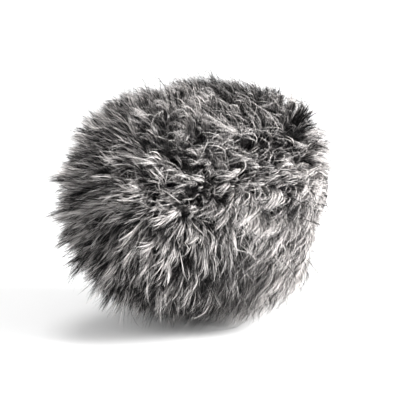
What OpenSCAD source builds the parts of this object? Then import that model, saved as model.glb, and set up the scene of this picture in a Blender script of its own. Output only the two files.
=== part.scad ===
// Furry windscreen for a compact camera microphone.
// A foam core with a rubber collar grips the microphone, and a sewn cover of long
// pile fur slips over it, closed at the hem by a drawcord and a spring cord lock.
// Millimetres. The origin is the centre of the collar's mouth, +Y is the way the
// microphone leaves, the nose points to -Y and +Z is up.

/* [Collar] */
// Bore of the rubber collar, a press fit on a 22 mm microphone barrel
collar_bore_d = 21.6; // [18:0.1:25]
// Length of the collar's gripping wall
collar_len = 12; // [8:0.5:20]
// Outer diameter of the collar's sleeve, inside the foam
collar_d = 25; // [24:0.5:30]
// Diameter of the collar's end flange
flange_d = 29; // [27:0.5:34]
// Thickness of the collar's end flange
flange_t = 2; // [1:0.5:3]

/* [Foam core] */
// Outer diameter of the foam core
core_d = 30; // [28:1:40]
// Distance from the collar's mouth to the centre of the domed nose
dome_reach = 66; // [45:1:75]
// Diameter of the blind hole that takes the microphone's slotted tube
core_bore_d = 22.4; // [20:0.2:26]
// Depth of the blind hole from the collar's mouth
core_bore_depth = 64; // [40:1:70]
// Glue gap between the foam and the collar
glue_gap = 0.1; // [0.05:0.05:0.3]

/* [Fur cloth] */
// Inner radius of the sewn sock of backing cloth
sock_r = 16; // [15:0.1:22]
// Thickness of the knitted backing cloth
cloth_t = 1; // [0.6:0.1:2]
// Half angle of the round nose panel, seen from the dome's centre
nose_angle = 30; // [20:1:45]
// Largest diameter of the standing pile
fur_d = 93; // [75:1:110]
// Distance from the collar's mouth forward to the pile's widest section
widest_reach = 44.5; // [35:0.5:60]
// Length of the pile's outline from its widest section to the nose
fur_front = 61; // [45:0.5:75]
// Half length of the curve that closes the outline towards the neck
fur_back = 55.5; // [50:0.5:75]
// How far the pile reaches back past the collar's mouth
fur_overhang = 1.8; // [0:0.1:8]
// Roundness of the outline in front, 2 is an ellipse
front_power = 2.2; // [1.8:0.1:3]
// Roundness of the outline behind, 2 is an ellipse
back_power = 1.7; // [1.4:0.1:3]

/* [Seams and hem] */
// Diameter of the sewing thread in the panel seams
seam_thread_d = 0.7; // [0.3:0.1:1]
// Diameter of the sewing thread in the hem
hem_thread_d = 0.5; // [0.3:0.1:1]
// Width of the binding tape's legs along the neck
binding_w = 10.6; // [8:0.2:14]
// Thickness of the binding tape
binding_t = 0.5; // [0.3:0.1:0.8]

/* [Drawcord] */
// Diameter of the drawcord
cord_d = 1.2; // [0.8:0.1:2]
// Distance from the collar's mouth forward to the drawcord's channel
cord_reach = 4.5; // [3:0.5:6]
// Distance from the axis to the cord's cut ends
tail_end = 40; // [36:0.5:55]
// Diameter of the bead crimped on the cord ends
bead_d = 4; // [3.4:0.1:6]
// Length of the bead
bead_len = 5; // [4:0.5:8]

/* [Cord lock] */
// Outside diameter of the lock's barrel
lock_d = 6.6; // [6:0.1:10]
// Distance from the axis down to the lock's centre line
lock_drop = 24; // [23.4:0.1:30]
// Bore of the barrel
lock_bore_d = 4.8; // [4:0.1:7]
// Radial clearance of the plunger in the barrel
plunger_clearance = 0.06; // [0.02:0.01:0.1]
// Gap under the plunger's head, a little over its travel
plunger_gap = 2.2; // [1.5:0.1:3]
// Diameter of the spring's wire
wire_d = 0.32; // [0.2:0.02:0.5]
// Number of turns in the spring
spring_turns = 3.5; // [3:0.5:6]

/* [Hidden] */
$fn = 96;

// outward overcut of every cutting tool
cut = 1;
// longer than the whole part, for half-space and cone tools
far = 80;
dome_y = -dome_reach;
sock_out_r = sock_r + cloth_t;
seam_r = sock_out_r + seam_thread_d / 2 + 0.1;
pile_root_r = sock_out_r + 0.2;
seam_half_gap = 0.5;
seam_half_angle = 1.2;
cloth_half_gap = 0.15;
cloth_half_angle = 0.4;
binding_in_r = sock_r - 0.15 - binding_t;
binding_out_r = sock_out_r + cord_d + 0.9;
binding_rear_y = 1.6;
binding_front_y = binding_rear_y - binding_w;
hem_thread_r = binding_out_r + hem_thread_d / 2 + 0.05;
hem_pocket_r = binding_out_r + hem_thread_d + 0.35;
cord_r = sock_out_r + 0.2 + cord_d / 2;
cord_y = -cord_reach;
cord_pitch = cord_d + 0.2;
cord_bend_r = 1.3;
eyelet_bore_r = 1.8;
eyelet_barrel_r = 2.15;
eyelet_flange_r = 3.1;
lock_back = 6.2;
lock_front = 3.2;
lock_wall = 1;
plunger_r = lock_bore_d / 2 - plunger_clearance;
plunger_tail = 1.9;
plunger_head_t = 1.6;
plunger_head_d = 6;
slot_half_x = cord_pitch / 2 + cord_d / 2 + 0.2;
slot_half_y = cord_d / 2 + 0.25;
notch_half_x = 4.8;
notch_front_y = -12.6;
outline_steps = 20;

// turns local +Z into +Y at a distance along the axis
module along_y(y) {
  translate([0, y, 0]) rotate([-90, 0, 0]) children();
}

// round-nosed cylinder about the Y axis, from the dome to rear_y
module capsule(r, rear_y) {
  along_y(dome_y) cylinder(r = r, h = rear_y - dome_y);
  translate([0, dome_y, 0]) sphere(r = r);
}

// cone from the dome's centre towards the nose
module nose_cone(half_angle) {
  translate([0, dome_y, 0])
    rotate([90, 0, 0])
      cylinder(r1 = 0, r2 = far * tan(half_angle), h = far);
}

// half of space on one side of the middle plane, side is 1 or -1
module side_space(side, gap) {
  translate([side > 0 ? gap : -gap - far, -2 * far, -far])
    cube([far, 3 * far, 2 * far]);
}

// ring of round section about the Y axis
module ring_y(y, ring_r, section_r) {
  along_y(y) rotate_extrude() translate([ring_r, 0]) circle(r = section_r, $fn = 24);
}

module foam_core() {
  color("dimgray")
    difference() {
      capsule(core_d / 2, -flange_t - glue_gap);
      along_y(-core_bore_depth)
        cylinder(d = core_bore_d, h = core_bore_depth + cut);
      along_y(-collar_len - glue_gap)
        cylinder(d = collar_d + 2 * glue_gap, h = collar_len + cut);
    }
}

module collar_ring() {
  edge = 0.6;
  color("black")
    along_y(-collar_len)
      rotate_extrude()
        polygon([
          [collar_bore_d / 2, 0],
          [collar_d / 2 - edge, 0],
          [collar_d / 2, edge],
          [collar_d / 2, collar_len - flange_t],
          [flange_d / 2, collar_len - flange_t],
          [flange_d / 2, collar_len - edge],
          [flange_d / 2 - edge, collar_len],
          [collar_bore_d / 2, collar_len]
        ]);
}

module cloth_shell() {
  difference() {
    capsule(sock_out_r, 0);
    capsule(sock_r, cut);
  }
}

module backing_side(side) {
  color("gray")
    difference() {
      intersection() {
        cloth_shell();
        side_space(side, cloth_half_gap);
      }
      nose_cone(nose_angle + cloth_half_angle);
    }
}

module backing_nose() {
  color("gray")
    intersection() {
      cloth_shell();
      nose_cone(nose_angle - cloth_half_angle);
    }
}

// one quarter of the pile's outline, t from 0 (widest) to 90 (on the axis)
function outline(t, reach, power) =
  [fur_d / 2 * pow(cos(t), 2 / power), reach * pow(sin(t), 2 / power)];

// parameter at which the rear curve has gone a given distance from the widest section
function outline_t(distance) = asin(pow(distance / fur_back, back_power / 2));

module pile_outline() {
  rear_t = outline_t(widest_reach + fur_overhang);
  front = [
    for (i = [outline_steps : -1 : 1])
      let (p = outline(90 * i / outline_steps, fur_front, front_power)) [p[0], -p[1]]
  ];
  rear = [
    for (i = [0 : outline_steps]) outline(rear_t * i / outline_steps, fur_back, back_power)
  ];
  polygon(concat(front, rear, [[0, widest_reach + fur_overhang]]));
}

module pile_solid() {
  along_y(-widest_reach) rotate_extrude() pile_outline();
}

module lock_notch() {
  translate([-notch_half_x, notch_front_y, -far])
    cube([2 * notch_half_x, far, far - sock_r + cloth_t]);
}

module fur_side(side) {
  color("silver")
    difference() {
      intersection() {
        pile_solid();
        side_space(side, seam_half_gap);
      }
      capsule(pile_root_r, binding_front_y);
      along_y(binding_front_y - 0.6) cylinder(r = hem_pocket_r, h = far);
      nose_cone(nose_angle + seam_half_angle);
      lock_notch();
    }
}

module fur_nose() {
  color("darkgray")
    difference() {
      intersection() {
        pile_solid();
        nose_cone(nose_angle - seam_half_angle);
      }
      translate([0, dome_y, 0]) sphere(r = pile_root_r);
    }
}

// thread along the middle plane, up is 1 for the top seam and -1 for the bottom one
module seam_thread(up) {
  front_angle = nose_angle + 2 * seam_half_angle;
  start_y = binding_front_y - 0.8;
  color("black")
    mirror([0, 0, up > 0 ? 0 : 1]) {
      translate([0, 0, seam_r])
        along_y(dome_y)
          cylinder(d = seam_thread_d, h = start_y - dome_y, $fn = 24);
      translate([0, dome_y, 0])
        rotate([90, 0, 90])
          rotate([0, 0, 90])
            rotate_extrude(angle = 90 - front_angle)
              translate([seam_r, 0])
                circle(d = seam_thread_d, $fn = 24);
    }
}

module seam_thread_nose() {
  color("black")
    ring_y(dome_y - seam_r * cos(nose_angle), seam_r * sin(nose_angle), seam_thread_d / 2);
}

// folded tape over the raw edge of the cloth, with the eyelet's hole underneath
module hem_binding() {
  color("black")
    difference() {
      along_y(binding_front_y)
        rotate_extrude() {
          translate([binding_in_r, 0]) square([binding_t, binding_w - binding_t]);
          translate([binding_out_r - binding_t, 0])
            square([binding_t, binding_w - binding_t]);
          translate([binding_in_r + binding_t, binding_w - binding_t])
            square([binding_out_r - binding_in_r - 2 * binding_t, binding_t]);
          for (r = [binding_in_r + binding_t, binding_out_r - binding_t])
            intersection() {
              translate([r, binding_w - binding_t]) circle(r = binding_t, $fn = 32);
              translate([binding_in_r, binding_w - binding_t])
                square([binding_out_r - binding_in_r, binding_t]);
            }
        }
      translate([0, cord_y, -binding_out_r - cut])
        cylinder(r = eyelet_barrel_r + 0.05, h = 2 * cut + binding_t);
    }
}

module hem_thread(y) {
  color("dimgray") ring_y(y, hem_thread_r, hem_thread_d / 2);
}

module eyelet() {
  inner_z = -binding_out_r + 0.65;
  flange_z = -binding_out_r - 0.05;
  color("gray")
    translate([0, cord_y, 0])
      difference() {
        union() {
          translate([0, 0, flange_z - 0.55]) cylinder(r = eyelet_flange_r, h = 0.55);
          translate([0, 0, flange_z - 0.1])
            cylinder(r = eyelet_barrel_r, h = inner_z - flange_z + 0.1);
        }
        translate([0, 0, flange_z - cut]) cylinder(r = eyelet_bore_r, h = far);
      }
}

// loop round the neck, turned down through the eyelet into two hanging tails;
// the cord swells a little in its tight bends, which take in the ends beside them
module drawcord() {
  bend_centre_r = cord_r + cord_bend_r;
  gap_angle = asin((cord_pitch / 2 + cord_bend_r) / bend_centre_r);
  bend_drop = bend_centre_r * cos(gap_angle);
  lap = 0.2;
  lap_angle = lap / cord_r * 180 / PI;
  color("black") {
    along_y(cord_y)
      rotate([0, 0, 90 + gap_angle - lap_angle])
        rotate_extrude(angle = 360 - 2 * (gap_angle - lap_angle))
          translate([cord_r, 0])
            circle(d = cord_d, $fn = 32);
    for (side = [0, 1])
      mirror([side, 0, 0]) {
        along_y(cord_y)
          translate([cord_pitch / 2 + cord_bend_r, bend_drop, 0])
            rotate([0, 0, 180])
              rotate_extrude(angle = 90 - gap_angle)
                translate([cord_bend_r, 0])
                  circle(d = cord_d + 0.08, $fn = 32);
        translate([cord_pitch / 2, cord_y, -tail_end])
          cylinder(d = cord_d, h = tail_end - bend_drop + lap, $fn = 32);
      }
  }
}

module cord_end() {
  top_z = -tail_end + 3.1;
  edge = 0.6;
  color("black")
    difference() {
      translate([0, cord_y, top_z - bead_len])
        rotate_extrude()
          polygon([
            [0, 0],
            [bead_d / 2 - edge, 0],
            [bead_d / 2, edge],
            [bead_d / 2, bead_len - edge],
            [bead_d / 2 - edge, bead_len],
            [0, bead_len]
          ]);
      for (x = [-cord_pitch / 2, cord_pitch / 2])
        translate([x, cord_y, -tail_end - 0.1])
          cylinder(d = cord_d + 0.1, h = bead_len, $fn = 32);
    }
}

module cord_lock_body() {
  edge = 0.9;
  groove = 0.3;
  r = lock_d / 2;
  len = lock_back + lock_front;
  color("black")
    translate([0, cord_y, -lock_drop])
      difference() {
        along_y(-lock_back)
          rotate_extrude()
            polygon([
              [0, 0],
              [r - edge, 0],
              [r, edge],
              [r, 2.2],
              [r - groove, 2.5],
              [r, 2.8],
              [r, 3.4],
              [r - groove, 3.7],
              [r, 4],
              [r, len - 0.4],
              [r - 0.4, len],
              [0, len]
            ]);
        along_y(lock_wall - lock_back) cylinder(d = lock_bore_d, h = len);
        translate([-slot_half_x, -slot_half_y, -lock_d])
          cube([2 * slot_half_x, 2 * slot_half_y, 2 * lock_d]);
      }
}

module cord_lock_plunger() {
  edge = 0.5;
  head_y = lock_front + plunger_gap;
  slot_y = cord_d / 2 + 0.2;
  color("dimgray")
    translate([0, cord_y, -lock_drop])
      difference() {
        along_y(-plunger_tail)
          rotate_extrude()
            polygon([
              [0, 0],
              [plunger_r - 0.2, 0],
              [plunger_r, 0.2],
              [plunger_r, head_y + plunger_tail],
              [plunger_head_d / 2, head_y + plunger_tail],
              [plunger_head_d / 2, head_y + plunger_tail + plunger_head_t - edge],
              [plunger_head_d / 2 - edge, head_y + plunger_tail + plunger_head_t],
              [0, head_y + plunger_tail + plunger_head_t]
            ]);
        translate([-slot_half_x, -slot_y, -lock_d])
          cube([2 * slot_half_x, 2 * slot_y + plunger_gap, 2 * lock_d]);
      }
}

// closed coil spring as one swept tube about the Y axis
module cord_lock_spring() {
  coil_r = 1.75;
  sides = 6;
  per_turn = 20;
  rings = spring_turns * per_turn;
  rise = lock_back - lock_wall - plunger_tail - wire_d - 0.1;
  function wire_point(i, k) =
    let (
      turn = 360 * i / per_turn,
      a = 360 * k / sides,
      r = coil_r + wire_d / 2 * cos(a)
    )
    [r * cos(turn), r * sin(turn), rise * i / rings + wire_d / 2 * sin(a)];
  points = [for (i = [0 : rings]) for (k = [0 : sides - 1]) wire_point(i, k)];
  walls = [
    for (i = [0 : rings - 1])
      for (k = [0 : sides - 1])
        [
          i * sides + k,
          i * sides + (k + 1) % sides,
          (i + 1) * sides + (k + 1) % sides,
          (i + 1) * sides + k
        ]
  ];
  first_cap = [for (k = [sides - 1 : -1 : 0]) k];
  last_cap = [for (k = [0 : sides - 1]) rings * sides + k];
  color("silver")
    translate([0, cord_y, -lock_drop])
      along_y(lock_wall - lock_back + wire_d / 2 + 0.05)
        polyhedron(points = points, faces = concat(walls, [first_cap, last_cap]));
}

foam_core();
collar_ring();
backing_side(1);  // backing_left
backing_side(-1);  // backing_right
backing_nose();
fur_side(1);  // fur_left
fur_side(-1);  // fur_right
fur_nose();
seam_thread(1);  // seam_thread_top
seam_thread(-1);  // seam_thread_bottom
seam_thread_nose();
hem_binding();
hem_thread(binding_front_y + 1.05);  // hem_thread_front
hem_thread(binding_rear_y - 1.25);  // hem_thread_rear
eyelet();
drawcord();
cord_end();
cord_lock_body();
cord_lock_spring();
cord_lock_plunger();
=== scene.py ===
# Furry windscreen: loose pile on a sewn cover, over a foam core, with a drawcord and its lock.
# Lengths are in mm until a mesh is made. The nose points to -Y, the microphone comes in from +Y,
# the left is +X and Z is up.
import math

import bpy
import numpy as np
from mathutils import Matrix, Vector
from mathutils.kdtree import KDTree


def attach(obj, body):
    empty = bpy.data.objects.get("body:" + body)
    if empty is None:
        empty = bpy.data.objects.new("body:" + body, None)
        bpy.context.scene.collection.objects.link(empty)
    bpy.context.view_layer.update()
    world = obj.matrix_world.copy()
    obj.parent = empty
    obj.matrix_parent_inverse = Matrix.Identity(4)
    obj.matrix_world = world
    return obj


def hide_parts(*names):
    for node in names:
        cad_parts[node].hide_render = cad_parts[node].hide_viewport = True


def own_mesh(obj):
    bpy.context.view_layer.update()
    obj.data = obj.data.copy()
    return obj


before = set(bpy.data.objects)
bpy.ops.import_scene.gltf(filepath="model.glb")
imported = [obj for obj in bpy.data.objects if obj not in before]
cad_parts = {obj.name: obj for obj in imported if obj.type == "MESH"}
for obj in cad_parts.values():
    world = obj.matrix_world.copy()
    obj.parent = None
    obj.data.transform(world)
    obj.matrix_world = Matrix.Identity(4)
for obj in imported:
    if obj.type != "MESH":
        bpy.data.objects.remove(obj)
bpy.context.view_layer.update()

MM = 0.001
rng = np.random.default_rng(469)

# The pile's mean outline, as the CAD has it: two half superellipses, turned about the Y axis
PILE_R = 46.5
WIDEST_Y = -44.5
PILE_FRONT, PILE_BACK = 61.0, 55.5
POWER_FRONT, POWER_BACK = 2.2, 1.7
OUTLINE_END_Y = 1.0
CENTRE = np.array([0.0, WIDEST_Y, 0.0])

# The sewn sock under it: a straight sleeve with a round end at the nose
SOCK_R = 17.0
DOME_Y = -66.0  # centre of the round end
HEM_Y = -9.8  # the rearmost roots
FAN_Y = -64.5  # the outline forward of this has its roots on the round end
NOSE_SEAM = 30  # degrees from the axis, seen from the round end's centre

FLOOR_Z = -52.5
FORWARD = np.array([0, -1.0, 0])
DOWN = np.array([0, 0, -1.0])


def unit(v):
    return v / np.maximum(np.linalg.norm(v, axis=-1, keepdims=True), 1e-9)


def smooth(x, lo, hi):
    """0 at lo, 1 at hi, and smooth between; lo may be above hi"""
    t = np.clip((x - lo) / (hi - lo), 0, 1)
    return t * t * (3 - 2 * t)


def distances(path):
    """the distance along a path at each of its points"""
    return np.concatenate([[0], np.cumsum(np.linalg.norm(np.diff(path, axis=0), axis=1))])


def nearest(points, queries):
    """for each query, the index of the nearest point and how far it is"""
    tree = KDTree(len(points))
    for i, p in enumerate(points):
        tree.insert(p, i)
    tree.balance()
    found = [tree.find(q) for q in queries]
    return np.array([f[1] for f in found]), np.array([f[2] for f in found])


def halves(p):
    """distance behind the widest section, and the reach and power of the half that a point is in"""
    d = p[..., 1] - WIDEST_Y
    return d, np.where(d < 0, PILE_FRONT, PILE_BACK), np.where(d < 0, POWER_FRONT, POWER_BACK)


def level(p):
    """1 on the pile's mean outline, growing in proportion outwards"""
    d, reach, power = halves(p)
    r = np.hypot(p[..., 0], p[..., 2])
    return ((np.abs(d) / reach) ** power + (r / PILE_R) ** power) ** (1 / power)


def outward(p):
    """outward normal of the outline's family of surfaces"""
    d, reach, power = halves(p)
    r = np.maximum(np.hypot(p[..., 0], p[..., 2]), 1e-6)
    along = np.sign(d) * (np.abs(d) / reach) ** (power - 1) / reach
    across = (r / PILE_R) ** (power - 1) / PILE_R
    return unit(np.stack([across * p[..., 0] / r, along, across * p[..., 2] / r], -1))


def half_outline(reach, power, end):
    """(radius, distance behind the widest section) along one half; reach is negative for the front"""
    t = np.linspace(0, end, 400)
    return np.stack([PILE_R * np.cos(t) ** (2 / power), reach * np.sin(t) ** (2 / power)], -1)


EVEN_STEPS = (0.7548776662466927, 0.5698402909980532)  # steps whose multiples fill a square evenly
ENDS_FREE = 0.0002  # share of the area at each end that gets no points


def outline_points(count, first, jitter):
    """points spread evenly over the outline by area, with a little disorder

    first is where the even sequence starts, so that two sets don't fall on each other
    """
    rear_end = math.asin(((OUTLINE_END_Y - WIDEST_Y) / PILE_BACK) ** (POWER_BACK / 2))
    front = half_outline(-PILE_FRONT, POWER_FRONT, math.pi / 2)[::-1]
    profile = np.concatenate([front, half_outline(PILE_BACK, POWER_BACK, rear_end)[1:]])
    step = np.linalg.norm(np.diff(profile, axis=0), axis=1)
    ring = (profile[1:, 0] + profile[:-1, 0]) / 2
    area = np.concatenate([[0], np.cumsum(step * ring)])
    i = np.arange(count) + first
    a, b = ((0.5 + s * i) % 1 + rng.normal(0, jitter / math.sqrt(count), count) for s in EVEN_STEPS)
    a = np.clip(a, ENDS_FREE, 1 - ENDS_FREE) * area[-1]
    r = np.interp(a, area, profile[:, 0])
    y = np.interp(a, area, profile[:, 1]) + WIDEST_Y
    turn = b * math.tau
    return np.stack([r * np.cos(turn), y, r * np.sin(turn)], -1)


def roots_of(e):
    """where on the sock the hair that belongs to an outline point has its root

    Returns the root, the sock's normal there and that normal's tilt from the axis in degrees.
    """
    r = np.hypot(e[..., 0], e[..., 2])
    turn = np.arctan2(e[..., 2], e[..., 0])
    dome = e[..., 1] < FAN_Y
    tilt = np.where(dome, np.arctan2(r, -(e[..., 1] - FAN_Y)), math.pi / 2)
    side_y = HEM_Y + (e[..., 1] - OUTLINE_END_Y) * (DOME_Y - HEM_Y) / (FAN_Y - OUTLINE_END_Y)
    n = np.stack([np.sin(tilt) * np.cos(turn), -np.cos(tilt), np.sin(tilt) * np.sin(turn)], -1)
    root = n * SOCK_R
    root[..., 1] += np.where(dome, DOME_Y, side_y)
    return root, n, np.degrees(tilt)


class Waves:
    """smooth vector noise, as a sum of random plane waves that are about size mm long"""

    def __init__(self, size, count=10):
        self.k = unit(rng.normal(size=(count, 3))) * math.tau / (size * rng.uniform(0.7, 1.6, (count, 1)))
        self.phase = rng.uniform(0, math.tau, count)
        self.way = rng.normal(size=(count, 3)) / math.sqrt(count / 2)

    def __call__(self, p):
        return np.sin(p @ self.k.T + self.phase) @ self.way


broad = Waves(34)
medium = Waves(13)
mottle = Waves(11)

# On the left flank the pile parts at a whorl, and a dark patch of painted shade beside it stands for the
# whorl's shadow
WHORL = np.array([38.0, -70.0, 15.0])
WHORL_REACH, WHORL_STRENGTH = 8, 0.5
WHORL_SHADOW = np.array([39.0, -81.0, 3.0])
WHORL_SHADOW_SIZE = np.array([12.0, 6.0, 13.0])


def combed(e):
    """1 on the flanks behind, where the pile lies smooth"""
    return smooth(e[..., 1], -62, -42) * smooth(e[..., 2], 28, 12)


def lie(e, n, stand):
    """the way a lock's tip points at an outline point; stand is how far it rises off the surface"""
    y, z = e[..., 1], e[..., 2]
    nose = smooth(y, -62, -92)
    behind = smooth(y, -66, -48)
    low = smooth(z - 12 * behind, 23, -16)
    hem = smooth(y, -20, -3)
    top = smooth(z, 18, 38)
    crest = smooth(z, 36, 46)
    # it runs forward, most of all behind, and turns back over the hem
    forward = 1.05 + 0.65 * behind * (1 - 0.5 * top) - 0.40 * low + 0.1 * nose - 0.25 * crest
    forward = forward + 0.55 * combed(e) * smooth(z, -28, -4)
    forward = forward * (1 - hem) - 1.15 * hem
    # it hangs on the lower half, and stands out at the nose, the crest and the hem
    down = 0.95 * low * (1 - 0.4 * hem)
    out = stand + 0.25 * nose + crest * (0.35 + stand) + 0.45 * hem
    way = n * out[..., None] + DOWN * down[..., None] + FORWARD * forward[..., None]
    away = e - WHORL
    dist = np.linalg.norm(away, axis=-1, keepdims=True)
    way = way + unit(away) * WHORL_STRENGTH * np.exp(-((dist / WHORL_REACH) ** 2))
    ruffle = 0.28 * (1 - 0.45 * combed(e))
    return way + 0.18 * broad(e) + ruffle[..., None] * medium(e)


def lying(e):
    """mean length that lies along the surface, in mm: longest behind, and short at the hem"""
    y, z = e[..., 1], e[..., 2]
    return 11 + (11 - 5 * smooth(z, 0, 20)) * smooth(y, -84, -48) - 9 * smooth(y, -18, -4)


def fullness(e):
    """how far the pile reaches, as a multiple of the mean outline, by direction from the centre"""
    x, y, z = np.moveaxis(unit(e - CENTRE), -1, 0)
    low = smooth(-z, 0.25, 0.95)
    rear = smooth(y, -0.15, 0.55)
    rear_low = rear * smooth(-z, 0.05, 0.6) * smooth(e[..., 1], -2, -14)
    front = smooth(-y, 0.5, 0.95)
    rear_top = smooth(0.30 * np.abs(x) + 0.77 * y + 0.56 * z, 0.86, 0.98)
    above = smooth(0.48 * y + 0.88 * z, 0.86, 0.98)
    right_brow = smooth(-0.64 * x - 0.44 * y + 0.63 * z, 0.90, 0.99)
    # it sags at the bottom, most of all behind, and stands out a little in front
    full = 0.09 * low + 0.11 * rear_low + 0.045 * front
    # the top is square behind, with a dip before it, and one patch on the right is fuller
    return 1.0 + full + 0.07 * rear_top - 0.05 * above + 0.06 * right_brow


RISE = 0.38  # how far the rise is straight off the cloth, as a share of the hair's length


def controls(e, tip_level, lay, way):
    """root, rise, bend and tip of a hair: the control points of a cubic curve, sock to outline"""
    root, root_n, _ = roots_of(e)
    n = outward(e)
    way = unit(way)
    flat = way - n * np.sum(way * n, -1, keepdims=True)
    tip = e + flat * lay[..., None]
    tip = CENTRE + (tip - CENTRE) * (tip_level / level(tip))[..., None]
    length = np.linalg.norm(tip - root, axis=-1, keepdims=True)
    rise = root + root_n * length * RISE
    bend = tip - way * lay[..., None]
    return np.stack([root, rise, bend, tip], -2)


# The pile is made of locks of wisps of strands. A group is a set of wisps that only share a tone.
LOCKS = 3600
GROUPS = 16000
WISPS = 80000
PER_WISP = 3

# locks: some are tufts, which stand further out, the longest of them at the nose
DROP, LOCK_SPREAD, TUFT_LEVEL, NOSE_TUFT = 0.020, 0.032, 0.042, 1.3
CURL, MOST_CURL = 1.4, 2.2  # mm sideways at the bend
lock_e = outline_points(LOCKS, 0, 0.25)
lock_n = outward(lock_e)
lock_calm = combed(lock_e)
tuft_share = 0.15 * (1 - 0.7 * lock_calm) + 0.08 * smooth(lock_e[:, 2], 8, 28)
tuft = rng.random(LOCKS) < tuft_share
lock_stand = rng.uniform(-0.25, 0.3, LOCKS) + tuft * rng.uniform(0.3, 0.7, LOCKS)
disorder = rng.normal(0, 0.28, (LOCKS, 3)) * (1 - 0.3 * lock_calm)[:, None]
lock_way = unit(lie(lock_e, lock_n, lock_stand)) + disorder
lock_full = fullness(lock_e)
lock_level = lock_full - DROP + LOCK_SPREAD * np.clip(rng.normal(0, 1, LOCKS), -2, 1.5)
lock_level = lock_level + TUFT_LEVEL * tuft * (1 + NOSE_TUFT * smooth(lock_e[:, 1], -66, -90))
lock_lay = lying(lock_e) * rng.uniform(0.7, 1.25, LOCKS)
lock_c = controls(lock_e, lock_level, lock_lay, lock_way)
curl = np.clip(rng.normal(0, CURL, (LOCKS, 1)), -MOST_CURL, MOST_CURL)
lock_c[:, 2] += unit(np.cross(lock_n, lock_way)) * curl
lock_tone = rng.normal(0, 1, LOCKS)

# wisps: each is drawn to its lock, more so towards the tip, but strays hardly are.
# Some end short, under the rest.
STRAY_SHARE, UNDER_SHARE = 0.18, 0.22
LOCK_PULL = np.array([0.0, 0.10, 0.46, 0.72])  # at the root, rise, bend and tip
STRAY_PULL = 0.2
OWN_WAY, LOCK_WAY, WAY_SPREAD, STRAY_SPREAD = 0.35, 0.65, 0.2, 0.5
WISP_SPREAD, STRAY_LEVEL, LEAST_UNDER, MOST_UNDER = 0.018, 0.02, 0.03, 0.16
wisp_e = outline_points(WISPS, 7, 0.3)
wisp_n = outward(wisp_e)
wisp_lock, _ = nearest(lock_e, wisp_e)
stray = rng.random(WISPS) < STRAY_SHARE
under = rng.random(WISPS) < UNDER_SHARE
wisp_way = (
    unit(lie(wisp_e, wisp_n, rng.uniform(0, 0.4, WISPS))) * OWN_WAY
    + unit(lock_way)[wisp_lock] * LOCK_WAY
    + rng.normal(0, WAY_SPREAD, (WISPS, 3))
)
wisp_way[stray] += rng.normal(0, STRAY_SPREAD, (int(stray.sum()), 3))
wisp_level = fullness(wisp_e) + (lock_level - lock_full)[wisp_lock] + rng.normal(0, WISP_SPREAD, WISPS)
wisp_level = wisp_level + STRAY_LEVEL * stray
wisp_level[under] -= rng.uniform(LEAST_UNDER, MOST_UNDER, int(under.sum()))
wisp_lay = lock_lay[wisp_lock] * rng.uniform(0.75, 1.2, WISPS)
wisp_c = controls(wisp_e, wisp_level, wisp_lay, wisp_way)
pull = np.where(stray, STRAY_PULL, 1.0)[:, None] * LOCK_PULL
wisp_c = wisp_c + (lock_c[wisp_lock] - wisp_c) * pull[..., None]
group, _ = nearest(outline_points(GROUPS, 31, 0.4), wisp_e)
group_tone = rng.normal(0, 1, GROUPS)[group]
wisp_tone = 0.60 * group_tone + 0.9 * rng.normal(0, 1, WISPS)
wisp_tone[stray] = wisp_tone[stray] * 0.8 - 0.1

# strands: they follow their wisp's curve, a little apart at each control point
SPREAD = np.array([0.09, 0.12, 0.12, 0.10])
TIP_SPREAD = 0.12
SHORTEST = 0.80  # share of the curve's length
COUNT = WISPS * PER_WISP
wisp = np.repeat(np.arange(WISPS), PER_WISP)
lock = wisp_lock[wisp]
strand_c = wisp_c[wisp].astype(np.float32)
strand_c = strand_c + rng.normal(0, 1, (COUNT, 1, 3)) * SPREAD[None, :, None]
strand_c[:, 3] += rng.normal(0, TIP_SPREAD, (COUNT, 3))
length = rng.uniform(SHORTEST, 1.0, COUNT)

T = np.array([0, 0.22, 0.42, 0.58, 0.71, 0.82, 0.92, 1.0])  # places of the knots, root to tip
KNOTS = len(T)
t = T[None, :] * length[:, None]
weights = np.stack([(1 - t) ** 3, 3 * t * (1 - t) ** 2, 3 * t * t * (1 - t), t**3], -1)
points = np.einsum("skc,scd->skd", weights, strand_c)


def wave(amplitude, turns, owner, count):
    """sideways waviness shared by every strand of one owner, growing from the root"""
    way_a = rng.normal(size=(count, 3))
    way_b = rng.normal(size=(count, 3))
    phase = rng.uniform(0, math.tau, (count, 1))
    rate = rng.uniform(0.7, 1.3, (count, 1)) * turns
    angle = math.tau * rate[owner] * t + phase[owner]
    size = amplitude * t**1.3
    return size[..., None] * (
        np.sin(angle)[..., None] * way_a[owner][:, None] + np.cos(angle)[..., None] * way_b[owner][:, None]
    )


points += wave(0.45, 1.0, lock, LOCKS)
points += wave(0.30, 1.3, wisp, WISPS)
points += wave(0.10, 2.2, np.arange(COUNT), COUNT)

# the ends of neighbouring wisps cross, most of all on the upper half and at the nose
CROSS_FROM, CROSS_OVER = 0.58, 0.42
crossing = rng.normal(0, 1, (WISPS, 3))
crossing -= 0.5 * wisp_n * np.sum(crossing * wisp_n, -1, keepdims=True)
upper, nose = smooth(wisp_e[:, 2], 0, 26), smooth(wisp_e[:, 1], -70, -86)
most = 1.0 + 2.0 * upper + 1.0 * nose - 0.3 * combed(wisp_e)
crossing *= (rng.random(WISPS) ** 2 * most)[:, None]
points += crossing[wisp][:, None] * np.clip((t - CROSS_FROM) / CROSS_OVER, 0, 1)[..., None]

# room that the hair leaves: round the hem tape, and for the cord lock to slide in
TAPE_Y, TAPE_ROOM_R = -10.2, 20.3
SOCK_ROOM_R = SOCK_R - 0.2
SLOT_Y, SLOT_Z, SLOT_HALF = -14.5, -16.5, 5.4
SLOT_WALL, SLOT_CROWDING = 4.4, 0.18  # where the slot's hair goes, and its width there as a share
OVER_FLOOR, FLOOR_SPREAD = 0.3, 0.5


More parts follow.
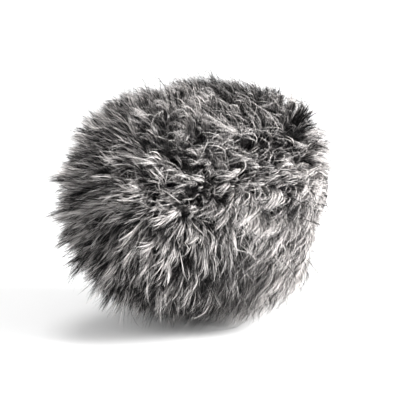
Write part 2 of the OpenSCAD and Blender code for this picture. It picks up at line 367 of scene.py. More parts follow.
def keep_clear(p):
    """moves hair out of the sock, off the hem tape, out of the cord lock's slot and off the floor"""
    r = np.hypot(p[..., 0], p[..., 2])
    room_r = np.where(p[..., 1] > TAPE_Y, TAPE_ROOM_R, SOCK_ROOM_R)
    inside = (p[..., 1] > DOME_Y) & (r < room_r) & (np.arange(KNOTS) > 0)
    grow = np.where(inside, room_r / np.maximum(r, 1e-6), 1)
    p[..., 0] *= grow
    p[..., 2] *= grow
    side = np.where(p[:, :1, 0] < 0, -1, 1)
    slot = (p[..., 1] > SLOT_Y) & (p[..., 2] < SLOT_Z) & (p[..., 0] * side < SLOT_HALF)
    aside = side * (SLOT_WALL + SLOT_CROWDING * np.clip(p[..., 0] * side, 0, None))
    p[..., 0] = np.where(slot, aside, p[..., 0])
    p[..., 2] = np.maximum(p[..., 2], FLOOR_Z + OVER_FLOOR + FLOOR_SPREAD * rng.random((COUNT, 1)))
    return p


points = keep_clear(points)

# ribbons: flat strands that more or less face outwards and taper to a point
ROLL = 0.6  # spread, in radians
NARROW, WIDE = 0.10, 0.17
tangent = unit(np.gradient(points, axis=1))
side = unit(np.cross(tangent, outward(points)))
up = np.cross(side, tangent)
roll = rng.normal(0, ROLL, COUNT)
across = side * np.cos(roll)[:, None, None] + up * np.sin(roll)[:, None, None]
taper = np.interp(T, [0, 0.3, 0.75, 1], [0.8, 1.0, 0.85, 0.12])
width = rng.uniform(NARROW, WIDE, COUNT)[:, None] * taper
half = across * width[..., None] / 2

# tones: by chance for each lock, wisp, group and strand, with patches, and painted light and shade by region
# of the pile.
# The contrast is higher on the nose's face.
CHANCE_SPREAD = 1.12
tip = points[:, -1]
tip_y, tip_z = tip[:, 1], tip[:, 2]
face = smooth(tip_y, -76, -94)
chance = (0.36 + 0.24 * face) * lock_tone[lock] + (1.0 + 0.25 * face) * wisp_tone[wisp]
chance = chance + 0.22 * rng.normal(0, 1, COUNT)
chance = chance / CHANCE_SPREAD + 0.70 * face * group_tone[wisp]
patch = broad(tip)[:, 0] * 0.12 + mottle(wisp_e)[wisp, 0] * (0.42 + 0.15 * face)
# painted light and shade: the flank is lighter where the lights fall, the belly is darker in its shade, a
# patch beside the whorl is darker as its shadow, and the shoulder behind and the crown are darker, partly
# painted self-shadow and partly darker fibres
flank_light = smooth(tip_y, -72, -36) * smooth(tip_z, 30, 8)
belly_shade = smooth(tip_z, -6, -26) * smooth(tip_y, -46, -62)
whorl_shadow = np.exp(-(((tip - WHORL_SHADOW) / WHORL_SHADOW_SIZE) ** 2).sum(-1))
shoulder_tone_and_shade = smooth(tip_z, 14, 30) * smooth(tip_y, -66, -46)
crown_tone_and_shade = smooth(tip_z, 20, 36)
region = 0.42 * flank_light - 0.60 * belly_shade - 0.5 * whorl_shadow - 0.30 * shoulder_tone_and_shade - 0.12 * crown_tone_and_shade - 0.12
# the face is lightest across its middle
middle = np.exp(-((tip_z + 2) / 13) ** 2)
brow, chin = smooth(tip_z, 8, 24), smooth(tip_z, -8, -24)
region = region + face * (0.18 * middle - 0.42 * brow - 0.30 * chin - 0.12)
# a normal spread of tones, with the painted light and shade, becomes an even one from 0 to 1, which the
# colour ramp reads
tone_and_light01 = 0.5 + 0.5 * np.vectorize(math.erf)((chance + patch + region) / math.sqrt(2))


class Nodes:
    """a node tree, with short ways to add its nodes and join them"""

    def __init__(self, tree):
        self.nodes = tree.nodes
        self.links = tree.links

    def add(self, kind):
        return self.nodes.new("ShaderNode" + kind)

    def feed(self, socket, value):
        """sets a socket to a number, or joins it to an output"""
        if isinstance(value, (int, float)):
            socket.default_value = value
        else:
            self.links.new(value, socket)

    def calc(self, operation, *values):
        node = self.add("Math")
        node.operation = operation
        for socket, value in zip(node.inputs, values):
            self.feed(socket, value)
        return node.outputs[0]

    def sine(self, value, period, shift=0.0):
        """a sine wave over a coordinate, both in mm; the shift is in radians"""
        return self.calc("SINE", self.calc("MULTIPLY_ADD", value, math.tau / period, shift))

    def noise(self, where, size, detail=4):
        node = self.add("TexNoise")
        self.feed(node.inputs["Scale"], 1 / size)
        self.feed(node.inputs["Detail"], detail)
        self.feed(node.inputs["Vector"], where)
        return node.outputs[0]

    def ramp(self, value, stops):
        """a colour for a value from 0 to 1; a stop is a position with a grey or with (r, g, b)"""
        node = self.add("ValToRGB")
        elements = node.color_ramp.elements
        while len(elements) < len(stops):
            elements.new(0.5)
        for element, (position, c) in zip(elements, stops):
            element.position = position
            element.color = (*(c if isinstance(c, tuple) else (c, c, c)), 1)
        self.feed(node.inputs[0], value)
        return node.outputs[0]


class Material(Nodes):
    """a new material, with its principled shader's inputs"""

    def __init__(self, name):
        self.material = bpy.data.materials.new(name)
        self.material.use_nodes = True
        super().__init__(self.material.node_tree)
        self.inputs = self.nodes["Principled BSDF"].inputs

    def uv(self, uv_map):
        """a UV map's coordinates, whole and then one by one"""
        where = self.add("UVMap")
        where.uv_map = uv_map
        split = self.add("SeparateXYZ")
        self.feed(split.inputs[0], where.outputs[0])
        return where.outputs[0], split.outputs["X"], split.outputs["Y"]

    def space(self):
        """the piece's own coordinates, in mm"""
        scale = self.add("VectorMath")
        scale.operation = "SCALE"
        self.feed(scale.inputs["Scale"], 1 / MM)
        self.feed(scale.inputs[0], self.add("TexCoord").outputs["Object"])
        return scale.outputs[0]

    def paint(self, value, stops):
        self.feed(self.inputs["Base Color"], self.ramp(value, stops))

    def bump(self, height, depth, strength=1.0):
        """raises the surface by height times a depth in mm"""
        node = self.add("Bump")
        self.feed(node.inputs["Distance"], depth * MM)
        self.feed(node.inputs["Strength"], strength)
        self.feed(node.inputs["Height"], height)
        self.feed(self.inputs["Normal"], node.outputs[0])

    def finish(self, roughness, shine=None):
        self.feed(self.inputs["Roughness"], roughness)
        if shine is not None:
            self.feed(self.inputs["Specular IOR Level"], shine)
        return self.material


# the fur's colours by tone, from near black to a warm white, and the painted shade that darkens it towards
# the root, where the pile shades itself
FUR_TONES = [
    (0.0, (0.008, 0.0075, 0.0074)),
    (0.49, (0.012, 0.0113, 0.0111)),
    (0.60, (0.07, 0.067, 0.065)),
    (0.69, (0.51, 0.480, 0.470)),
    (0.76, (0.95, 0.905, 0.885)),
    (1.0, (0.98, 0.94, 0.92)),
]
FUR_ROOT_SHADE = [(0.0, 0.12), (0.45, 0.42), (0.74, 1.0), (1.0, 1.0)]
FUR_UV = "OFBake"  # a strand's tone with its painted light and shade by region, and the place along it, which sets the painted shade at the root


def fur_material(name, shade_gain):
    m = Material(name)
    _, tone_and_shade, along = m.uv(FUR_UV)
    # the panel's painted shade scales all its colours
    colours = [(position, tuple(c * shade_gain for c in rgb)) for position, rgb in FUR_TONES]
    mix = m.add("Mix")
    mix.data_type = "RGBA"
    mix.blend_type = "MULTIPLY"
    factor, first, second = mix.inputs[0], mix.inputs[6], mix.inputs[7]
    m.feed(factor, 1.0)
    m.feed(first, m.ramp(tone_and_shade, colours))
    # painted shade: the colour is multiplied by a ramp that darkens it towards the root
    m.feed(second, m.ramp(along, FUR_ROOT_SHADE))
    m.feed(m.inputs["Base Color"], mix.outputs[2])
    return m.finish(0.5, 0.16)


def hang(name, mesh, mat, body, node):
    """an object that rides on a body and stands for a CAD node"""
    mesh.materials.append(mat)
    o = bpy.data.objects.new(name, mesh)
    bpy.context.scene.collection.objects.link(o)
    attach(o, body)
    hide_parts(node)
    return o


STRAND_VERTS = KNOTS * 2 - 1
UV_EDGE = 0.002  # keeps coordinates off the edge of the UV square


def ribbons(name, chosen, mat, node):
    """the chosen strands as one piece on the cover: each is a row of quads with a triangle at its tip"""
    n = len(chosen)
    p, h = points[chosen], half[chosen]
    verts = np.empty((n, STRAND_VERTS, 3), np.float32)
    verts[:, 0:-1:2] = (p - h)[:, :-1]
    verts[:, 1:-1:2] = (p + h)[:, :-1]
    verts[:, -1] = p[:, -1]
    quads = KNOTS - 2
    pattern = [2 * k + i for k in range(quads) for i in (0, 1, 3, 2)]
    pattern += [2 * quads + i for i in range(3)]
    loops = ((np.arange(n) * STRAND_VERTS)[:, None] + np.array(pattern)[None, :]).ravel()
    sizes = np.tile(np.array([4] * quads + [3]), n)
    starts = np.concatenate([[0], np.cumsum(sizes)[:-1]])
    mesh = bpy.data.meshes.new(name)
    mesh.vertices.add(n * STRAND_VERTS)
    mesh.vertices.foreach_set("co", (verts * MM).ravel())
    mesh.loops.add(len(loops))
    mesh.loops.foreach_set("vertex_index", loops.astype(np.int32))
    mesh.polygons.add(len(sizes))
    mesh.polygons.foreach_set("loop_start", starts.astype(np.int32))
    mesh.polygons.foreach_set("use_smooth", np.ones(len(sizes), bool))
    uv = np.empty((n, STRAND_VERTS, 2), np.float32)
    uv[..., 0] = np.clip(tone_and_light01[chosen], UV_EDGE, 1 - UV_EDGE)[:, None]
    uv[..., 1] = np.clip(np.repeat(T, 2)[:-1], UV_EDGE, 1 - UV_EDGE)[None]
    mesh.uv_layers.new(name=FUR_UV).data.foreach_set("uv", uv.reshape(-1, 2)[loops].ravel())
    mesh.update()
    mesh.validate()
    hang(name, mesh, mat, "cover", node)


# the fur's panels, and how light each is: the nose panel is darker with painted shade, as it faces away from
# the lights; a strand belongs to the panel that its wisp's root is in
PANELS = [("fur_left", 1.0), ("fur_right", 1.0), ("fur_nose", 0.55)]
LEFT, RIGHT, NOSE = range(3)
MOST_STRANDS = 12500  # in one piece
_, _, root_tilt = roots_of(wisp_e)
wisp_panel = np.where(root_tilt < NOSE_SEAM, NOSE, np.where(wisp_e[:, 0] > 0, LEFT, RIGHT))
for k, (node, shade_gain) in enumerate(PANELS):
    mat = fur_material(node + "_fibres", shade_gain)
    mine = np.flatnonzero(wisp_panel[wisp] == k)
    parts = math.ceil(len(mine) / MOST_STRANDS)
    for i in range(parts):
        ribbons(f"{node}_{i + 1}", mine[i::parts], mat, node)


# everything under the pile
CLOTH_UV = "cloth"


def foam_material():
    m = Material("open_cell_foam")
    where = m.space()
    cells = m.add("TexVoronoi")
    cells.feature = "F1"
    m.feed(cells.inputs["Scale"], 1 / 0.75)
    m.feed(cells.inputs["Vector"], where)
    height = m.calc("MULTIPLY_ADD", m.noise(where, 0.5), 0.45, cells.outputs["Distance"])
    # painted shade: the colour follows the height, darkest down in the pores and lightest on the cell walls
    m.paint(height, [(0.2, 0.002), (0.5, 0.008), (0.8, 0.022), (1.0, 0.045)])
    m.bump(height, 0.35, 0.9)
    return m.finish(0.95, 0.06)


def knit_material():
    """rows of stitches that lean from one wale to the next, in a heathered yarn"""
    m = Material("knitted_backing")
    where, u, v = m.uv(CLOTH_UV)
    wale = m.calc("ABSOLUTE", m.sine(u, 1.8))
    course = m.sine(v, 0.75, m.calc("MULTIPLY", wale, 1.9))
    height = m.calc("MULTIPLY", wale, m.calc("MULTIPLY_ADD", course, 0.35, 0.65))
    heather = m.noise(where, 1.6)
    # the yarn's heather, with painted shade that darkens the grooves between the stitches
    tone_and_shade = m.calc("MULTIPLY_ADD", heather, 0.6, m.calc("MULTIPLY", height, 0.55))
    m.paint(tone_and_shade, [(0.2, 0.012), (0.5, 0.04), (0.8, 0.085), (1.0, 0.13)])
    m.bump(height, 0.25)
    return m.finish(0.85)


def tape_material():
    """a twill: ribs that run slantwise over fine threads"""
    m = Material("woven_tape")
    where, u, v = m.uv(CLOTH_UV)
    rib_width, thread_width = 1.4, 0.5
    rib = m.sine(v, rib_width, m.calc("MULTIPLY", u, math.tau / rib_width))
    fine = m.sine(u, thread_width)
    height = m.calc("MULTIPLY_ADD", fine, 0.18, m.calc("MULTIPLY_ADD", rib, 0.4, 0.5))
    # a random tone, with painted shade that darkens the tape between its ribs and threads
    tone_and_shade = m.calc("MULTIPLY_ADD", m.noise(where, 0.8), 0.5, m.calc("MULTIPLY", height, 0.5))
    m.paint(tone_and_shade, [(0.2, 0.003), (0.5, 0.014), (0.85, 0.09)])
    m.bump(height, 0.4)
    return m.finish(0.8, 0.15)


def thread_material(name, dark, light):
    """a twisted thread; its u is 0 to 1 round it"""
    m = Material(name)
    where, u, v = m.uv(CLOTH_UV)
    twist = m.sine(v, 0.5, m.calc("MULTIPLY", u, math.tau))
    # painted shade: the thread is darker in the twist's grooves, over a random tone
    m.paint(m.calc("MULTIPLY_ADD", twist, 0.3, m.noise(where, 0.9)), [(0.15, dark), (0.85, light)])
    m.bump(twist, 0.06)
    return m.finish(0.6)


def solid_material(name, greys, roughness, metallic=0.0, grain=0.6, depth=0.02, shine=0.3):
    """plastic, rubber or metal: its grey and roughness vary, over a finer grain; sizes in mm"""
    m = Material(name)
    where = m.space()
    cloud = m.noise(where, grain, 6)
    m.paint(cloud, list(zip(np.linspace(0.3, 0.7, len(greys)), greys)))
    rough = m.add("MapRange")
    m.feed(rough.inputs["To Min"], roughness - 0.08)
    m.feed(rough.inputs["To Max"], roughness + 0.12)
    m.feed(rough.inputs["Value"], cloud)
    m.bump(m.noise(where, grain / 4, 3), depth, 0.6)
    m.feed(m.inputs["Metallic"], metallic)
    return m.finish(rough.outputs[0], shine)


def resample(corners, step):
    """a path through the corners, with points about a step apart"""
    corners = np.array(corners, float)
    out = []
    for p, q in zip(corners[:-1], corners[1:]):
        n = max(1, round(float(np.linalg.norm(q - p)) / step))
        out.append(p + (q - p) * np.linspace(0, 1, n, endpoint=False)[:, None])
    return np.concatenate(out + [corners[-1:]])


def grid_faces(rows, cols, closed=False):
    """quads between rows of vertices, each row a ring; closed joins the last row to the first"""
    i, j = np.mgrid[0 : rows if closed else rows - 1, 0:cols]
    next_i, next_j = (i + 1) % rows, (j + 1) % cols
    quads = np.stack([i * cols + j, i * cols + next_j, next_i * cols + next_j, next_i * cols + j], -1)
    return quads.reshape(-1, 4)


def end_caps(rows, cols):
    """one face over the first ring and one over the last"""
    return [range(cols - 1, -1, -1), range((rows - 1) * cols, rows * cols)]


def piece(name, verts, faces, mat, body, node, uv=None, caps=()):
    """a mesh piece in mm that rides on a body and stands for a CAD node; uv is one for each vertex"""
    verts = np.asarray(verts, float).reshape(-1, 3)
    all_faces = [tuple(int(v) for v in f) for f in faces] + [tuple(c) for c in caps]
    mesh = bpy.data.meshes.new(name)
    mesh.from_pydata((verts * MM).tolist(), [], all_faces)
    mesh.polygons.foreach_set("use_smooth", np.ones(len(all_faces), bool))
    if uv is not None:
        loops = np.empty(len(mesh.loops), np.int32)
        mesh.loops.foreach_get("vertex_index", loops)
        uv = np.asarray(uv, np.float32).reshape(-1, 2)
        mesh.uv_layers.new(name=CLOTH_UV).data.foreach_set("uv", uv[loops].ravel())
    mesh.update()
    return hang(name, mesh, mat, body, node)


def turned(profile, columns):
    """a profile of (r, y) turned round the Y axis: vertices (rows, columns, 3) and the angles"""
    phi = np.linspace(0, math.tau, columns, endpoint=False)
    r = profile[:, :1]
    y = np.broadcast_to(profile[:, 1:], (len(profile), columns))
    return np.stack([r * np.sin(phi), y, r * np.cos(phi)], -1), phi


def around(r, tilt, turn, centre_y=DOME_Y):
    """points at r from a centre on the axis, by their tilt from the axis and their turn about it"""
    y = centre_y - r * np.cos(tilt)
    return np.stack([r * np.sin(tilt) * np.sin(turn), y, r * np.sin(tilt) * np.cos(turn)], -1)


# foam core: a sleeve with a round end and a stepped bore, and pores pressed into its surface
FOAM_R, FOAM_REAR = 15, -2.1
FOAM_BORE = [
    (0.3, -64), (10.2, -64), (11.2, -63), (11.2, -12.15),
    (12.6, -12.1), (12.6, -2.4), (12.9, FOAM_REAR), (14.7, FOAM_REAR),
]
BORE_STEP, FOAM_STEP, FOAM_COLS = 0.46, 0.42, 216
DOME_START, DOME_END = 90, 1.2  # degrees from the axis
PORES, PORE_SCATTER, PORE_DEPTH, SKIN = 15000, 0.2, 0.30, 0.03
PORE_R, PORE_EDGE = 0.05, 0.55
dome_rows = round(FOAM_R * math.radians(DOME_START - DOME_END) / FOAM_STEP)
a = np.radians(np.linspace(DOME_START, DOME_END, dome_rows))
foam_dome = np.stack([FOAM_R * np.sin(a), DOME_Y - FOAM_R * np.cos(a)], -1)
foam_side = resample([(FOAM_R, FOAM_REAR), (FOAM_R, DOME_Y)], FOAM_STEP)[:-1]
profile = np.concatenate([resample(FOAM_BORE, BORE_STEP), foam_side, foam_dome])
verts, _ = turned(profile, FOAM_COLS)
slope = unit(np.gradient(profile, axis=0))
normal, _ = turned(np.stack([-slope[:, 1], slope[:, 0]], -1), FOAM_COLS)
flat = verts.reshape(-1, 3)
pores = flat[rng.integers(0, len(flat), PORES)] + rng.normal(0, PORE_SCATTER, (PORES, 3))
_, near = nearest(pores, flat)
dent = PORE_DEPTH * (1 - smooth(near.reshape(verts.shape[:2]), PORE_R, PORE_EDGE)) + SKIN
piece(
    "foam", verts - normal * dent[..., None], grid_faces(len(profile), FOAM_COLS), foam_material(),
    "core", "foam_core", caps=end_caps(len(profile), FOAM_COLS),
)

# backing cloth: two side panels and the nose panel, each closed, with an outer and an inner face
knit = knit_material()
CLOTH_OUT_R, CLOTH_MID_R, CLOTH_IN_R = 16.95, 16.5, 16.0
CLOTH_END_Y = -0.05
CLOTH_COLS, SIDE_ROWS, DOME_ROWS, NOSE_ROWS = 96, 140, 40, 26
SEAM_GAP = 0.15  # mm, at the long seams
NOSE_GAP = 0.4  # degrees, at the nose seam
FLAT_Y, FULL_Y = -9.5, -14  # the puckers start in front of the tape, and are full further on


def pucker(across, along):
    """the cloth turns in and gathers a little beside a seam, in mm inwards"""
    near_seam = np.exp(-((across / 1.1) ** 2))
    return 0.32 * near_seam + 0.10 * np.exp(-((across / 5) ** 2)) * (1 + np.sin(along * math.tau / 4.5))


# the side panels' path from the hem: tilt from the axis, and Y of the centre it is measured from
side_y = np.linspace(CLOTH_END_Y, DOME_Y, SIDE_ROWS)
dome_tilt = np.linspace(90, NOSE_SEAM + NOSE_GAP, DOME_ROWS)[1:]
tilt = np.radians(np.concatenate([np.full(SIDE_ROWS, 90.0), dome_tilt]))
centre_y = np.concatenate([side_y, np.full(DOME_ROWS - 1, DOME_Y)])
steps = np.hypot(np.diff(centre_y), CLOTH_MID_R * np.diff(tilt))
along = np.concatenate([[0], np.cumsum(steps)])[:, None]
tilt, centre_y = tilt[:, None], centre_y[:, None]
gap = SEAM_GAP / CLOTH_MID_R
for side, name in ((1, "backing_left"), (-1, "backing_right")):
    turn = np.linspace(gap, math.pi - gap, CLOTH_COLS) * side
    across = np.abs(np.sin(turn)) * CLOTH_MID_R * np.sin(tilt)
    inwards = pucker(across, along) * smooth(centre_y, FLAT_Y, FULL_Y)
    outer, inner = (around(r - inwards, tilt, turn, centre_y) for r in (CLOTH_OUT_R, CLOTH_IN_R))
    verts = np.concatenate([outer, inner[:, ::-1]], 1)
    rows, loop, _ = verts.shape
    u = np.concatenate([turn, turn[::-1]]) * CLOTH_MID_R
    uv = np.stack(np.broadcast_arrays(u[None, :], along), -1)
    ends = []
    for base, order in ((0, 1), ((rows - 1) * loop, -1)):
        for j in range(CLOTH_COLS - 1):
            ends.append([base + j, base + j + 1, base + loop - 2 - j, base + loop - 1 - j][::order])
    piece(name + "_cloth", verts, grid_faces(rows, loop), knit, "cover", name, uv, ends)

MM_PER_DEGREE = 0.29  # along the cloth
NOSE_START, NOSE_EDGE = 1.5, NOSE_SEAM - NOSE_GAP
NOSE_FOLDS, FOLD_DEPTH = 14, 0.03
tilt = np.radians(np.linspace(NOSE_START, NOSE_EDGE, NOSE_ROWS))[:, None]
turn = np.linspace(0, math.tau, CLOTH_COLS, endpoint=False)
inwards = pucker((NOSE_EDGE - np.degrees(tilt)) * MM_PER_DEGREE, 0)
inwards = inwards + FOLD_DEPTH * np.sin(turn * NOSE_FOLDS) * smooth(tilt, 0.2, 0.5)
outer, inner = (around(r - inwards, tilt, turn) for r in (CLOTH_OUT_R, CLOTH_IN_R))
both = np.concatenate([tilt, tilt[::-1]])
uv = np.stack([np.sin(both) * np.sin(turn) * CLOTH_MID_R, np.sin(both) * np.cos(turn) * CLOTH_MID_R], -1)
piece(
    "backing_nose_cloth", np.concatenate([outer, inner[::-1]]), grid_faces(len(both), CLOTH_COLS), knit,
    "cover", "backing_nose", uv, end_caps(len(both), CLOTH_COLS),
)


def tube(path, radius, sides, closed=False):
    """vertices, faces, uv and caps of a tube; radius is a number or an array over rows and sides"""
    n = len(path)
    if closed:
        tangent = unit(np.roll(path, -1, 0) - np.roll(path, 1, 0))
    else:
        tangent = unit(np.gradient(path, axis=0))
    a = np.empty_like(path)
    ref = np.cross(tangent[0], (0.31, 0.87, 0.4))  # no path here starts along that
    for i in range(n):
        ref = ref - tangent[i] * np.dot(ref, tangent[i])
        ref = ref / np.linalg.norm(ref)
        a[i] = ref
    b = np.cross(tangent, a)
    theta = np.linspace(0, math.tau, sides, endpoint=False)
    ring = a[:, None] * np.cos(theta)[None, :, None] + b[:, None] * np.sin(theta)[None, :, None]
    verts = path[:, None] + np.broadcast_to(radius, (n, sides))[..., None] * ring
    uv = np.stack(np.broadcast_arrays((theta / math.tau)[None, :], distances(path)[:, None]), -1)
    caps = [] if closed else end_caps(n, sides)
    return verts.reshape(-1, 3), grid_faces(n, sides, closed), uv.reshape(-1, 2), caps


def tubes(name, parts, mat, body, node):
    """one piece from one or more tubes"""
    verts, faces, uvs, caps, base = [], [], [], [], 0
    for v, f, u, c in parts:
        verts.append(v)
        faces.append(f + base)
        uvs.append(u)
        caps += [[i + base for i in cap] for cap in c]
        base += len(v)
    verts, faces, uvs = np.concatenate(verts), np.concatenate(faces), np.concatenate(uvs)
    return piece(name, verts, faces, mat, body, node, uvs, caps)


# seam threads: one zigzag each
seam_thread = thread_material("seam_thread", 0.02, 0.09)
SEAM_R, SEAM_THREAD_R, SEAM_SIDES = 17.2, 0.2, 6
SEAM_END_Y, SEAM_END_TILT = -9.9, 32.4
STITCH, SWING, LIFT = 1.7, 0.75, 0.24  # length, half its width, and height over the cloth
STITCH_POINTS = 8


def zigzag(length):
    """distance along the seam, sideways offset and height over the cloth"""
    n = max(STITCH_POINTS, int(length / STITCH * STITCH_POINTS))
    d = np.linspace(0, length, n)
    phase = d / STITCH
    swing = 2 * np.abs(phase - np.floor(phase + 0.5)) * 2 - 1
    return d, swing * SWING, LIFT * (1 - swing**4)


reach = SEAM_END_Y - DOME_Y
arc = math.radians(90 - SEAM_END_TILT) * SEAM_R
for up, node in ((1, "seam_thread_top"), (-1, "seam_thread_bottom")):
    d, swing, height = zigzag(reach + arc)
    bend = np.clip((d - reach) / SEAM_R, 0, None)
    r = SEAM_R + height
    y = np.where(d < reach, SEAM_END_Y - d, DOME_Y - np.sin(bend) * r)
    line = np.stack([swing, y, up * r * np.cos(bend)], -1)
    tubes(node + "_stitches", [tube(line, SEAM_THREAD_R, SEAM_SIDES)], seam_thread, "cover", node)
nose_seam_length = math.tau * SEAM_R * math.sin(math.radians(NOSE_SEAM))
d, swing, height = zigzag(round(nose_seam_length / STITCH) * STITCH)
line = around(SEAM_R + height, np.radians(NOSE_SEAM) + swing / SEAM_R, d / d[-1] * math.tau)[:-1]
loop = tube(line, SEAM_THREAD_R, SEAM_SIDES, True)
tubes("seam_thread_nose_stitches", [loop], seam_thread, "cover", "seam_thread_nose")


# hem: folded tape, its stitches and the cord it carries
def gathers(phi):
    """the puckers the drawcord leaves, 0 to 1 round the hem, and none beside the eyelet"""
    ripple = 0.5 + 0.34 * np.sin(phi * 29 + 1.4 * np.sin(phi * 3)) + 0.16 * np.sin(phi * 47)
    return ripple * smooth(np.cos(phi), -0.99, -0.90)


CORD_Y = -4.5
TAPE_IN_R, TAPE_OUT_R, TAPE_T, TAPE_FRONT, TAPE_REAR = 15.35, 19.1, 0.5, -9.0, 1.6
FOLD_R = 0.5
TAPE_COLS, TAPE_STEP, TAPE_MID_R = 288, 0.55, 17.5
GATHER, GATHER_FROM_Y, GATHER_LAG = 0.42, -2.5, 0.06  # mm, mm, and radians
EYELET_R, EYELET_Z = 2.3, -18  # the hole in the tape that the eyelet sits in, at the bottom
quarter = np.radians(np.linspace(0, 90, 6))
out_r, in_r, fold_y = TAPE_OUT_R - FOLD_R, TAPE_IN_R + FOLD_R, TAPE_REAR - FOLD_R
out_fold = [(out_r + FOLD_R * math.cos(a), fold_y + FOLD_R * math.sin(a)) for a in quarter]
in_fold = [(in_r - FOLD_R * math.sin(a), fold_y + FOLD_R * math.cos(a)) for a in quarter]
section = (
    [(TAPE_OUT_R - TAPE_T, TAPE_FRONT), (TAPE_OUT_R, TAPE_FRONT)] + out_fold + in_fold
    + [(TAPE_IN_R, TAPE_FRONT), (TAPE_IN_R + TAPE_T, TAPE_FRONT), (TAPE_IN_R + TAPE_T, TAPE_REAR - TAPE_T),
       (TAPE_OUT_R - TAPE_T, TAPE_REAR - TAPE_T), (TAPE_OUT_R - TAPE_T, TAPE_FRONT)]
)
section = resample(section, TAPE_STEP)[:-1]
verts, phi = turned(section, TAPE_COLS)
gather_out = GATHER * smooth(section[:, 0], TAPE_IN_R + 0.8, TAPE_OUT_R)[:, None] * gathers(phi)
gather_back = GATHER * smooth(section[:, 1], GATHER_FROM_Y, TAPE_REAR)[:, None] * gathers(phi + GATHER_LAG)
verts = verts + np.stack([gather_out * np.sin(phi), gather_back, gather_out * np.cos(phi)], -1)
faces = grid_faces(len(section), TAPE_COLS, True)
centre = verts.reshape(-1, 3)[faces].mean(1)
hole = (np.hypot(centre[:, 0], centre[:, 1] - CORD_Y) < EYELET_R) & (centre[:, 2] < EYELET_Z)
uv = np.stack(np.broadcast_arrays((phi * TAPE_MID_R)[None, :], distances(section)[:, None]), -1)
piece("hem_binding_tape", verts, faces[~hole], tape_material(), "cover", "hem_binding", uv)

hem_thread = thread_material("hem_thread", 0.05, 0.17)
HEM_STITCHES, HEM_THREAD_R, HEM_SIDES = 46, 0.21, 7
HEM_ROWS = [("hem_thread_front", -7.95), ("hem_thread_rear", 0.35)]
HALF_STITCH = 0.41  # share of the pitch
DIVE, SLANT = 0.42, 0.06  # how far a stitch's ends go down, and aside
TURN_SPREAD, ROW_SPREAD = 0.004, 0.05  # radians, and mm
run = np.linspace(-1, 1, 9)
lift = LIFT - DIVE * np.abs(run) ** 5
span = np.linspace(-HALF_STITCH, HALF_STITCH, 9) * math.tau / HEM_STITCHES
for node, y in HEM_ROWS:
    stitches = []
    for i in range(HEM_STITCHES):
        phi = (i + 0.5) / HEM_STITCHES * math.tau + rng.normal(0, TURN_SPREAD) + span
        r = TAPE_OUT_R + GATHER * gathers(phi) + lift
        stitch_y = y + rng.normal(0, ROW_SPREAD) + run * SLANT
        stitch_y = stitch_y + GATHER * smooth(y, GATHER_FROM_Y, TAPE_REAR) * gathers(phi + GATHER_LAG)
        line = np.stack([r * np.sin(phi), stitch_y, r * np.cos(phi)], -1)
        stitches.append(tube(line, HEM_THREAD_R, HEM_SIDES))
    tubes(node + "_stitches", stitches, hem_thread, "cover", node)

# drawcord: two tails, the bends where they go into the hem, and a ring inside it
RING_R, BEND_R, TAIL_X, TAIL_END_Z = 17.8, 1.3, 0.7, -40
CORD_R, CORD_SIDES = 0.6, 20
TAIL_STEP, RING_STEP = 0.24, 0.0135  # mm, and radians
BRAID_STRANDS, BRAID_PITCH, BRAID_LOW, BRAID_RELIEF = 5, 2.2, 0.93, 0.07  # strands each way round
bend_at = RING_R + BEND_R
gap = math.asin((TAIL_X + BEND_R) / bend_at)
drop = bend_at * math.cos(gap)
tail = [(-TAIL_X, z) for z in np.arange(TAIL_END_Z, -drop, TAIL_STEP)]
bend_x = -TAIL_X - BEND_R
quarter = np.linspace(0, math.pi / 2 - gap, 9)
turn_in = [(bend_x + BEND_R * math.cos(a), -drop + BEND_R * math.sin(a)) for a in quarter]
round_hem = np.arange(-gap, -math.tau + gap, -RING_STEP)
ring = [(RING_R * math.sin(a), -RING_R * math.cos(a)) for a in round_hem]
half_line = tail + turn_in
line = half_line + ring[1:-1] + [(-x, z) for x, z in half_line[::-1]]
line = np.array([(x, CORD_Y, z) for x, z in line])
twist = distances(line)[:, None] * math.tau / BRAID_PITCH
theta = BRAID_STRANDS * np.linspace(0, math.tau, CORD_SIDES, endpoint=False)[None, :]
braid = np.maximum(np.cos(theta + twist), np.cos(theta - twist))
cord = tube(line, CORD_R * (BRAID_LOW + BRAID_RELIEF * braid), CORD_SIDES)
tubes("drawcord_braid", [cord], thread_material("drawcord", 0.008, 0.035), "cover", "drawcord")

# the lock's spring: its coils are closer at both ends, and it flattens as the button goes in
COIL_R, COIL_START, COIL_RISE, COIL_TURNS, COIL_Z = 1.75, -9.49, 2.88, 3.5, -24
COIL_EASE, COIL_POINTS = 0.35, 180
WIRE_R, WIRE_SIDES = 0.16, 10
turn = np.linspace(0, 1, COIL_POINTS)
rise = smooth(turn, 0.0, 1.0) * COIL_EASE + turn * (1 - COIL_EASE)
angle = turn * COIL_TURNS * math.tau
line = np.stack([COIL_R * np.cos(angle), COIL_START + COIL_RISE * rise, COIL_Z + COIL_R * np.sin(angle)], -1)
steel = solid_material("spring_steel", (0.45, 0.55, 0.62), 0.25, 1.0, 0.5, 0.005, 0.5)
coil = [tube(line, WIRE_R, WIRE_SIDES)]
spring = tubes("cord_lock_spring_coil", coil, steel, "cord_lock", "cord_lock_spring")
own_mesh(spring)

# the rubber collar and the hard parts keep their CAD shape
moulded = solid_material("moulded_plastic", (0.006, 0.010, 0.016), 0.40, grain=0.5, depth=0.015, shine=0.22)
button = solid_material(
    "moulded_plastic_button", (0.010, 0.014, 0.022), 0.34, grain=0.4, depth=0.012, shine=0.22
)
CAD_LOOKS = {
    "collar_ring": solid_material("rubber", (0.003, 0.007, 0.013), 0.66, grain=0.9, depth=0.04, shine=0.12),
    "eyelet": solid_material("black_nickel", (0.07, 0.12, 0.18), 0.28, 1.0, 0.7, 0.01, 0.5),
    "cord_end": moulded,
    "cord_lock_body": moulded,
    "cord_lock_plunger": button,
}
for name, mat in CAD_LOOKS.items():
    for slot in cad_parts[name].material_slots:
        slot.material = mat

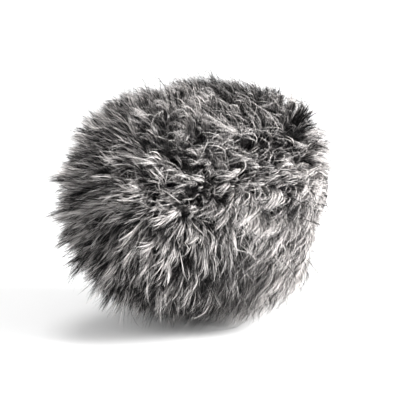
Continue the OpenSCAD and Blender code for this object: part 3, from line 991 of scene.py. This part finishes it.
# floor, surroundings, lights and camera; from here on lengths are in metres
bpy.ops.mesh.primitive_plane_add(size=6, location=(0, 0, FLOOR_Z * MM))
floor = bpy.context.object
floor.name = "floor"
paper = Material("floor")
paper.inputs["Base Color"].default_value = (0.93, 0.93, 0.93, 1)
floor.data.materials.append(paper.finish(0.9))

WORLD_LIGHT = 0.52  # the camera sees white all round, but this is what lights the part
world = bpy.data.worlds.new("world")
bpy.context.scene.world = world
world.use_nodes = True
sky = Nodes(world.node_tree)
colour, strength = sky.nodes["Background"].inputs[:2]
colour.default_value = (1, 1, 1, 1)
camera_ray = sky.add("LightPath").outputs["Is Camera Ray"]
sky.feed(strength, sky.calc("MULTIPLY_ADD", camera_ray, 1 - WORLD_LIGHT, WORLD_LIGHT))
bpy.context.scene.view_settings.view_transform = "Standard"


def aimed(name, data, where, back):
    """a light or camera in the scene, looking away from the direction back"""
    o = bpy.data.objects.new(name, data)
    bpy.context.scene.collection.objects.link(o)
    o.location = where
    o.rotation_mode = "QUATERNION"
    o.rotation_quaternion = back.to_track_quat("Z", "Y")
    return o


AIM = Vector((0, -0.048, -0.002))
sun = bpy.data.lights.new("sun", "SUN")
sun.energy = 3.8
sun.angle = math.radians(24)
aimed("sun", sun, (0, 0, 0), Vector((0.62, 0.42, 0.52)))
LAMPS = [  # name, place, size, power
    ("key", (0.66, 0.40, 0.22), 0.35, 8),
    ("fill", (0.30, -0.80, 0.35), 0.5, 4),
    ("top", (-0.1, -0.1, 0.8), 0.3, 3),
]
for name, where, size, power in LAMPS:
    lamp = bpy.data.lights.new(name, "AREA")
    lamp.size = size
    lamp.energy = power
    aimed(name, lamp, where, Vector(where) - AIM)

AZ, EL = math.radians(52), math.radians(13.5)
AWAY = 1.2
back = Vector((math.sin(AZ) * math.cos(EL), -math.cos(AZ) * math.cos(EL), math.sin(EL)))
cam = bpy.data.cameras.new("camera")
cam.lens = 275
cam.sensor_width = 36
bpy.context.scene.camera = aimed("camera", cam, AIM + back * AWAY, back)
